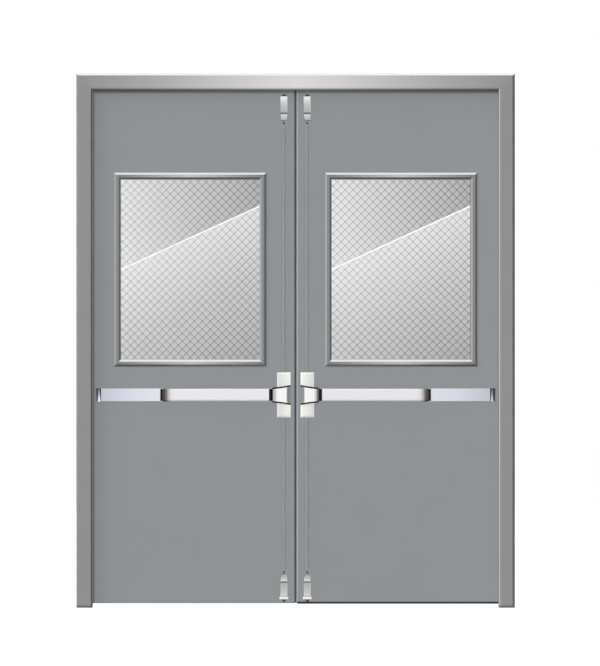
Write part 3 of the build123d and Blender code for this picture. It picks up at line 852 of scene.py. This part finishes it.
# The wire mesh: welded steel wire cast into the middle of the glass, drawn
# to 1.6 mm, in squares that stand on a corner.
def mesh_of_wires():
    """A tree that fills a pane with two sets of slanting parallel wires."""
    tree, given = geometry_tree("slanting_wires", "Wires", {
        "Pane Width": 0.6, "Pane Height": 0.8,
        "Diamond": 0.033, "Wire Radius": 0.0004,
    })
    shortest = 0.2
    step = sums(tree)
    width = given.outputs["Pane Width"]
    height = given.outputs["Pane Height"]
    pitch = given.outputs["Diamond"]
    reach = step("ADD", width, height)
    count = step("FLOOR", step("DIVIDE", reach, pitch))
    apart = add(tree, "ShaderNodeCombineXYZ", {"X": pitch})
    start = add(
        tree, "ShaderNodeCombineXYZ",
        {"X": step("MULTIPLY", step("MULTIPLY", count, pitch), -0.5)},
    )
    row = add(
        tree, "GeometryNodeMeshLine",
        {
            "Count": step("ADD", count, 1.0),
            "Start Location": start.outputs[0], "Offset": apart.outputs[0],
        },
        mode="OFFSET",
    )
    where = add(tree, "GeometryNodeInputPosition")
    foot = add(
        tree, "ShaderNodeSeparateXYZ", {0: where.outputs[0]}
    ).outputs["X"]
    half_wide = step("MULTIPLY", width, 0.5)
    half_high = step("MULTIPLY", height, 0.5)
    bottom = step(
        "MAXIMUM", step("MULTIPLY", half_high, -1.0),
        step("SUBTRACT", step("MULTIPLY", half_wide, -1.0), foot),
    )
    top = step("MINIMUM", half_high, step("SUBTRACT", half_wide, foot))
    rise = step("SUBTRACT", top, bottom)
    middle = step("MULTIPLY", step("ADD", top, bottom), 0.5)
    placed = add(
        tree, "ShaderNodeCombineXYZ",
        {"X": step("ADD", foot, middle), "Z": middle},
    )
    keep = add(
        tree, "GeometryNodeDeleteGeometry",
        {
            "Geometry": row.outputs["Mesh"],
            "Selection": step(
                "LESS_THAN", rise, step("MULTIPLY", pitch, shortest)
            ),
        },
        domain="POINT",
    )
    lengths = add(
        tree, "GeometryNodeStoreNamedAttribute",
        {
            "Geometry": keep.outputs[0], "Name": "wire_length",
            "Value": step("MULTIPLY", rise, math.sqrt(2)),
        },
        data_type="FLOAT", domain="POINT",
    )
    spread = add(
        tree, "GeometryNodeSetPosition",
        {"Geometry": lengths.outputs[0], "Position": placed.outputs[0]},
    )
    wire = add(
        tree, "GeometryNodeMeshCylinder",
        {"Vertices": 8, "Radius": given.outputs["Wire Radius"], "Depth": 1.0},
    )
    stored = add(
        tree, "GeometryNodeInputNamedAttribute", {"Name": "wire_length"},
        data_type="FLOAT",
    )
    stretch = add(
        tree, "ShaderNodeCombineXYZ",
        {"X": 1.0, "Y": 1.0, "Z": stored.outputs["Attribute"]},
    )
    sets = []
    for turn in (0.0, math.pi):
        lean = add(
            tree, "GeometryNodeInstanceOnPoints",
            {
                "Points": spread.outputs[0], "Instance": wire.outputs["Mesh"],
                "Rotation": (0.0, math.radians(45), 0.0),
                "Scale": stretch.outputs[0],
            },
        )
        turned = add(
            tree, "GeometryNodeTransform",
            {"Geometry": lean.outputs[0], "Rotation": (0.0, 0.0, turn)},
        )
        sets.append(turned.outputs[0])
    joined = add(tree, "GeometryNodeJoinGeometry")
    for one in sets:
        tree.links.new(one, joined.inputs[0])
    put_out(tree, given, "Wires", joined.outputs[0])
    return tree


wire_steel, tree = material("drawn_steel_wire")
drawn = noise(tree, 5 * MM, 2.0)
grey = mixed(tree, drawn, linear("#DDDDDD"), linear("#FFFFFF"))
# The wires are painted to follow the pane's painted reflection: dark where it is dark,
# pale where it is bright.
lit = add(tree, "ShaderNodeRGBToBW", {"Color": pane_tone(tree)})
veiled = ramp(
    tree, lit.outputs[0],
    (0.36, "#050506"), (0.5, "#2C2E30"), (0.66, "#77797C"), (0.88, "#A2A4A6"),
    (1.0, "#FFFFFF"),
)
shaded(tree, {
    "Base Color": mixed(tree, 1.0, grey, veiled, "MULTIPLY"),
    "Metallic": 0.3, "Roughness": 0.5,
})

wires = mesh_of_wires()
wire_margin, wire_radius = 6 * MM, 0.8 * MM
diamond_pixels = 8.0
for side in ("left", "right"):
    low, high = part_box(f"{side}_glass")
    piece = grown(
        f"{side}_wire_mesh", wires, (low + high) / 2,
        {
            "Pane Width": high.x - low.x - 2 * wire_margin,
            "Pane Height": high.z - low.z - 2 * wire_margin,
            "Diamond": diamond_pixels * metres_per_pixel,
            "Wire Radius": wire_radius,
            "Metal": wire_steel,
        },
    )
    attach(piece, f"{side}_leaf")


# The push bars: a satin anodised rail, painted black inside behind the pad
# as the shade in its channel, under a lavender-grey cover with a painted
# highlight that brightens towards the pad.
bar_low, bar_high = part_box("right_rail_cover")
bar_height = (bar_low.z + bar_high.z) / 2
rail_low, rail_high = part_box("right_rail")
rail_flange = 2.4 * MM

rail_metal, tree, tone, metal = brushed_metal(
    "anodised_rail", "#C9CAD6", "#D8D9E4", (long, fine, fine), 0.4
)
at, step = surface(tree), sums(tree)
# Painted shade: the inside of the rail's channel is painted black.
painted_channel_shade = step(
    "LESS_THAN", step("ABSOLUTE", step("SUBTRACT", at.z, bar_height)),
    (rail_high.z - rail_low.z) / 2 - rail_flange,
)
tree.links.new(
    mixed(tree, painted_channel_shade, tone, linear("#0B0B0C")), metal.inputs["Base Color"]
)
tree.links.new(step("SUBTRACT", 1.0, painted_channel_shade), metal.inputs["Metallic"])
dress(rail_metal, *both_sides("rail"))

cover_metal, tree, tone, metal = brushed_metal(
    "anodised_rail_cover", "#E6E6E8", "#F4F4F6", (long, fine, fine), 0.36
)
at, step = surface(tree), sums(tree)
cover_start = bar_low.x - door_middle.x
cover_length = bar_high.x - bar_low.x
# A painted highlight: the cover is painted brighter towards the pad.
tint = ramp(
    tree, step("DIVIDE", step("SUBTRACT", at.aside, cover_start), cover_length),
    (0.0, "#F9FBFF"), (0.5, "#EEF0FB"), (1.0, "#D8DAE5"),
)
tint_tone(tree, tone, tint, metal)
dress(cover_metal, *both_sides("rail_cover"))


# The pads: brushed stainless steel with long faint grinding lines, dull
# underneath. A dark moulded cap closes the outer end, painted from brown-grey
# to black along it as shade. At the other end the gap to the head cover
# shows black: the rail's inside and the cover's nose, both painted as shade.
pad_low, pad_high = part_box("right_pad")
cap_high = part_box("right_pad_caps")[1]
pad_end = pad_high.x - door_middle.x
pad_start = pad_low.x - door_middle.x
cap_end = cap_high.x - door_middle.x

pad_metal, tree, tone, metal = brushed_metal(
    "brushed_pad_steel", "#E3E3E5", "#F8F8F9", (long, fine, fine), 0.3
)
at, step = surface(tree), sums(tree)
darker_end = 30 * MM
past_plain = step("SUBTRACT", at.aside, pad_end - darker_end)
tint = ramp(
    tree, step("DIVIDE", past_plain, darker_end),
    (0.0, "#FBFBFB"), (0.5, "#F3F2F2"), (1.0, "#B9B3B3"),
)
tint_tone(tree, tone, tint, metal)
scatter(tree, step("LESS_THAN", at.up, -0.12), metal)
dress(pad_metal, *both_sides("pad"))


def moulded_plastic(name, dark, light, roughness):
    """Injection-moulded plastic with a fine spark-eroded grain."""
    finish, tree = material(name)
    grain = noise(tree, 0.8 * MM, 2.0)
    tone = mixed(tree, grain, linear(dark), linear(light))
    skin = shaded(tree, {
        "Base Color": tone, "Roughness": roughness,
        "Normal": relief(tree, grain, 0.3, 0.08 * MM),
    })
    return finish, tree, tone, skin


cap_plastic, tree, tone, skin = moulded_plastic(
    "dark_cap_plastic", "#EDEBEB", "#FFFFFF", 0.4
)
at, step = surface(tree), sums(tree)
# Painted shade: the cap is painted from brown-grey to black towards its outer end.
tint = ramp(
    tree,
    step("DIVIDE", step("SUBTRACT", at.aside, pad_start), cap_end - pad_start),
    (0.0, "#22231F"), (0.5, "#22231F"), (0.952, "#8F8686"), (0.975, "#4A4343"),
    (1.0, "#141112"),
)
tint_tone(tree, tone, tint, skin)
dress(cap_plastic, *both_sides("pad_caps"))


# The end caps: cast and polished, with a painted reflection: dark where they
# slope, white on one facet that widens downwards, and darker towards the top.
cap_chrome, tree, tone, metal = brushed_metal(
    "polished_end_cap", "#EFEDF2", "#FFFFFF", (long, fine, fine), 0.14
)
at, step = surface(tree), sums(tree)
# Painted reflection: the slopes are painted dark and the middle facet white.
facet = ramp(
    tree, at.outwards,
    (0.0, "#514C59"), (0.42, "#514C59"), (0.44, "#FFFFFF"), (0.7, "#FFFFFF"),
    (0.72, "#77737E"), (1.0, "#77737E"),
)
bar_thickness = bar_high.z - bar_low.z
# Painted reflection, darker towards the top of the cap.
lower_part = ramp(
    tree, step("DIVIDE", step("SUBTRACT", at.z, bar_low.z), bar_thickness),
    (0.0, "#FFFFFF"), (0.3, "#E4E2E8"), (0.6, "#C2BFC8"), (1.0, "#A9A5B1"),
)
tint_tone(tree, tone, mixed(tree, 1.0, facet, lower_part, "MULTIPLY"), metal)
tree.links.new(step("LESS_THAN", at.outwards, 0.43), metal.inputs["Metallic"])
dress(cap_chrome, *both_sides("rail_end_cap"))


# The centre cases: pressed from satin stainless steel, almost white, painted
# darker towards the wall as shade, with soft bevelled edges, of which the
# right-hand ones scatter the light.
case_steel, tree, tone, metal = brushed_metal(
    "satin_case_steel", "#F2F3EF", "#FFFFFC", (fine, fine, long), 0.3
)
at, step = surface(tree), sums(tree)
low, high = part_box("right_centre_case")
towards_wall = step(
    "DIVIDE", step("SUBTRACT", at.aside, low.x - door_middle.x), high.x - low.x
)
# Painted shade: the case greys towards the wall.
tint = ramp(
    tree, towards_wall, (0.0, "#FFFFFF"), (0.3, "#F6F6F6"), (1.0, "#E2E2E2")
)
tint_tone(tree, tone, tint, metal)
scatter(tree, step("GREATER_THAN", at.right, 0.15), metal)
dress(case_steel, *both_sides("centre_case"))


# The head covers: zinc castings plated satin nickel. The front is almost
# white, painted grey towards its ends as shade; the bevels, sides and nose are
# painted dark as shade, and the scoop is painted grey as shade, darker on the
# right-hand cover.
def plated_cover():
    """Satin plating, told apart by place and by which way a face looks."""
    finish, tree, tone, metal = brushed_metal(
        "satin_plated_cover", "#F2F2F0", "#FFFFFF", (long, fine, fine), 0.26
    )
    at, step = surface(tree), sums(tree)
    low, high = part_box("right_head_cover")
    along = step(
        "DIVIDE", step("SUBTRACT", at.aside, low.x - door_middle.x),
        high.x - low.x,
    )
    # Painted shade: the front greys towards its rounded ends.
    front = ramp(
        tree, along,
        (0.0, "#7D7B7D"), (0.17, "#C9C8C8"), (0.24, "#FDFDFC"),
        (0.68, "#FDFDFC"), (0.78, "#D6D6D4"), (0.88, "#ADACAA"),
        (1.0, "#8C8A88"),
    )
    # Painted shade in the scoop, darker on the right-hand cover.
    scooped = step("LESS_THAN", at.outwards, -0.4)
    on_right = step("GREATER_THAN", at.x, door_middle.x)
    hollow = mixed(tree, on_right, linear("#ABA9AB"), linear("#8B898B"))
    colour = mixed(tree, scooped, front, hollow)
    # Painted shade: the bevels, sides and nose are painted dark.
    dark = step(
        "MAXIMUM", step("GREATER_THAN", step("ABSOLUTE", at.up), 0.4),
        step("GREATER_THAN", at.outwards, 0.82),
    )
    tint_tone(tree, tone, mixed(tree, dark, colour, linear("#2B2A2A")), metal)
    tree.links.new(step("SUBTRACT", 1.0, scooped), metal.inputs["Metallic"])
    return finish


dress(plated_cover(), *both_sides("head_cover"))


# The rods and latches: steel rods in the leaf's own coat run up and down to
# satin latches, whose bolts reach for the head and the floor; the bolts are
# painted dark as steel in shade. A dark disc is painted on each rod just
# before its latch, as the shade of a screw hole. The rods' faces turned left
# are painted darker and those turned right lighter, against the lamps.
def latch_steel(name, node, *tones):
    """Satin plating that shades along the latch, from its lower end up."""
    finish, tree, tone, metal = brushed_metal(
        name, "#EDEDEC", "#FFFFFF", (fine, fine, long), 0.34
    )
    low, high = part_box(node)
    at, step = surface(tree), sums(tree)
    # Painted shade along the latch, with dark bands at its joints; faces turned right are
    # painted lighter as a highlight.
    shade = ramp(
        tree, step("DIVIDE", step("SUBTRACT", at.z, low.z), high.z - low.z),
        *tones,
    )
    turned_right = step("GREATER_THAN", at.right, 0.2)
    shade = mixed(tree, turned_right, shade, linear("#F4F4F4"))
    tint_tone(tree, tone, shade, metal)
    scatter(tree, turned_right, metal)
    return finish


top_steel = latch_steel(
    "satin_top_latch", "right_top_latch",
    (0.0, "#B0B0B0"), (0.25, "#E0E0E0"), (0.276, "#8C8984"), (0.298, "#8C8984"),
    (0.32, "#B4B4B4"), (0.7, "#CECECE"), (1.0, "#FFFFFF"),
)
dress(top_steel, *both_sides("top_latch"))
bottom_steel = latch_steel(
    "satin_bottom_latch", "right_bottom_latch",
    (0.0, "#FFFFFF"), (0.12, "#FFFFFF"), (0.14, "#EAEAEA"), (0.3, "#D2D2D2"),
    (0.66, "#BEBEBE"), (0.69, "#A09E99"), (0.725, "#A09E99"), (0.75, "#F4F4F4"),
    (0.8, "#E0E0E0"), (0.88, "#CACACA"), (1.0, "#B2B2B2"),
)
dress(bottom_steel, *both_sides("bottom_latch"))

rod_coat, tree, tone, coat = powder_coat(
    "powder_coated_rod", "#878B8E", "#8A8E91", 0.5
)
hole_from_latch, hole_radius, side_shade_share = 10 * MM, 4.6 * MM, 0.85
at, step = surface(tree), sums(tree)
# Painted shade: the bolt ends past each latch and a screw-hole disc are painted dark.
dark = 0.0
for rod, latch, up in (
    ("right_top_rod", "right_top_latch", 1),
    ("right_bottom_rod", "right_bottom_latch", -1),
):
    low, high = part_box(latch)
    rod_low, rod_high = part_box(rod)
    latch_end = high.z if up > 0 else -low.z
    bolt = step("GREATER_THAN", step("MULTIPLY", at.z, up), latch_end)
    hole_z = low.z - hole_from_latch if up > 0 else high.z + hole_from_latch
    across = step(
        "SUBTRACT", at.aside, (rod_low.x + rod_high.x) / 2 - door_middle.x
    )
    rise = step("SUBTRACT", at.z, hole_z)
    off = step("SQRT", step(
        "ADD", step("MULTIPLY", across, across), step("MULTIPLY", rise, rise)
    ))
    hole = step("LESS_THAN", off, hole_radius)
    dark = step("MAXIMUM", dark, step("MAXIMUM", bolt, hole))
# Painted shade and highlight: faces turned left are painted darker, faces turned right
# lighter.
painted_side_shade = ramp(
    tree, step("MULTIPLY_ADD", at.right, 0.5, 0.5),
    (0.0, "#7C8083"), (0.5, "#888C8F"), (1.0, "#A0A4A7"),
)
tone = mixed(tree, side_shade_share, tone, painted_side_shade)
tree.links.new(
    mixed(tree, dark, tone, linear("#34312E")), coat.inputs["Base Color"]
)
dress(rod_coat, *both_sides("top_rod", "bottom_rod"))

# The photograph's light wraps round the thin hardware and leaves no shadow
# of it on the leaves, so here it casts none.
for name in both_sides(
    "top_rod", "bottom_rod", "top_latch", "bottom_latch", "centre_case",
    "head_cover", "rail", "rail_cover", "rail_end_cap", "pad", "pad_caps",
):
    nodes[name].visible_shadow = False
    nodes[name].visible_diffuse = False
